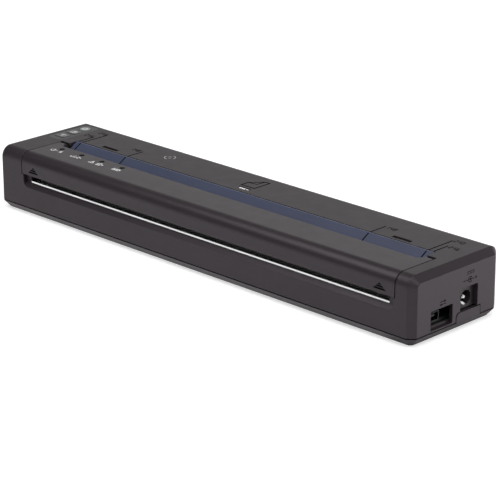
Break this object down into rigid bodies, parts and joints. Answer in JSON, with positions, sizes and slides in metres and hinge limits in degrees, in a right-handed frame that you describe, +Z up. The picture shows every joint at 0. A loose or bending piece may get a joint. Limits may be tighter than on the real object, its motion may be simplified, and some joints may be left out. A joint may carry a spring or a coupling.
{
  "type": "portable thermal printer",
  "caption": "Slim battery printer for full-page thermal paper: hinged cover with platen roller, sloped feed slot on top, exit slot in front, keys and lamps at one end, sockets in the other.",
  "frame": {"origin": "bottom centre of the closed printer's box, on the surface that it stands on", "axes": "+X along the printer towards the sockets, -Y towards the front where the sheet comes out, +Z up"},
  "size_m": [0.255, 0.055, 0.0302],
  "materials": {
    "case_black": "fine matt grain",
    "base_black": "fine matt grain",
    "inner_black": "smooth matt",
    "strip_blue": "satin",
    "panel_grey": "satin",
    "key_grey": "satin",
    "lens_clear": "smoked clear",
    "foot_rubber": "matt",
    "roller_rubber": "ground matt",
    "steel": "brushed",
    "bar_steel": "polished",
    "screw_steel": "blackened",
    "motor_can": "plated",
    "aluminium": "extruded",
    "ceramic": "glazed",
    "gear_white": "moulded acetal",
    "brass": "turned",
    "board_green": "solder mask",
    "chip_black": "moulded",
    "can_silver": "sleeved",
    "cable_white": "flat film",
    "wrap_blue": "shrink wrap",
    "socket_metal": "plated",
    "jack_black": "moulded"
  },
  "bodies": {
    "housing": {"upper_case": "case_black", "bottom_case": "base_black", "rubber_feet": "foot_rubber", "case_screws": "screw_steel", "hinge_pins": "steel", "entry_strip": "strip_blue", "paper_chute": "inner_black", "exit_bar": "bar_steel", "button_panel": "panel_grey", "button_board": "board_green", "button_switches": "chip_black", "gear_plate": "steel", "gear_axles": "steel", "feed_motor": "motor_can", "head_frame": "steel", "head_pivot_pins": "steel", "head_springs": "steel", "main_board": "board_green", "board_chips": "chip_black", "board_capacitors": "can_silver", "head_connector": "inner_black", "head_cable": "cable_white", "usb_connector": "socket_metal", "dc_jack": "jack_black", "dc_pin": "brass", "chassis_screws": "screw_steel", "battery_pack": "wrap_blue", "battery_contacts": "inner_black", "paper_sensor": "inner_black", "cover_switch": "inner_black"},
    "cover": {"release_cover": "case_black", "indicator_lenses": "lens_clear", "indicator_board": "board_green", "platen_bushes": "gear_white"},
    "platen": {"platen_rubber": "roller_rubber", "platen_shaft": "steel", "platen_gear": "gear_white"},
    "idler": {"idler_gear": "gear_white"},
    "reduction_gear": {"compound_gear": "gear_white"},
    "rotor": {"motor_pinion": "brass", "motor_shaft": "steel"},
    "head": {"thermal_head": "ceramic", "head_carrier": "aluminium"},
    "battery_door": {"battery_cover": "base_black"},
    "feed_key": {"feed_button": "key_grey"},
    "mode_key": {"mode_button": "key_grey"},
    "power_key": {"power_button": "key_grey"}
  },
  "joints": [
    {"name": "cover_hinge", "type": "hinge", "parent": "housing", "child": "cover", "pos_m": [0.00445, -0.0052, 0.0277], "axis": [-1, 0, 0], "range_deg": [0, 90]},
    {"name": "platen_spin", "type": "hinge", "parent": "cover", "child": "platen", "pos_m": [0.00445, -0.0162, 0.0229], "axis": [1, 0, 0], "continuous": true},
    {"name": "idler_spin", "type": "hinge", "parent": "housing", "child": "idler", "pos_m": [-0.10795, -0.01224, 0.01527], "axis": [1, 0, 0], "continuous": true},
    {"name": "reduction_spin", "type": "hinge", "parent": "housing", "child": "reduction_gear", "pos_m": [-0.10795, -0.00608, 0.01879], "axis": [1, 0, 0], "continuous": true},
    {"name": "rotor_spin", "type": "hinge", "parent": "housing", "child": "rotor", "pos_m": [-0.10795, -0.00232, 0.01219], "axis": [1, 0, 0], "continuous": true},
    {"name": "head_pivot", "type": "hinge", "parent": "housing", "child": "head", "pos_m": [0.00445, -0.0116, 0.0114], "axis": [1, 0, 0], "range_deg": [0, 2], "stiffness_Nm_per_rad": 4, "springref_deg": -1.15, "deforming": ["head_springs"]},
    {"name": "battery_cover_release", "type": "slide", "parent": "housing", "child": "battery_door", "axis": [0, 0, -1], "range_m": [0, 0.03]},
    {"name": "feed_press", "type": "slide", "parent": "housing", "child": "feed_key", "axis": [0, 0, -1], "range_m": [0, 0.0006], "stiffness_N_per_m": 600, "springref_m": -0.0002},
    {"name": "mode_press", "type": "slide", "parent": "housing", "child": "mode_key", "axis": [0, 0, -1], "range_m": [0, 0.0006], "stiffness_N_per_m": 600, "springref_m": -0.0002},
    {"name": "power_press", "type": "slide", "parent": "housing", "child": "power_key", "axis": [0, 0, -1], "range_m": [0, 0.0006], "stiffness_N_per_m": 600, "springref_m": -0.0002}
  ],
  "couplings": [
    {"joint": "idler_spin", "follows": "platen_spin", "ratio": -1.125},
    {"joint": "reduction_spin", "follows": "platen_spin", "ratio": 1.5},
    {"joint": "rotor_spin", "follows": "platen_spin", "ratio": -3}
  ]
}
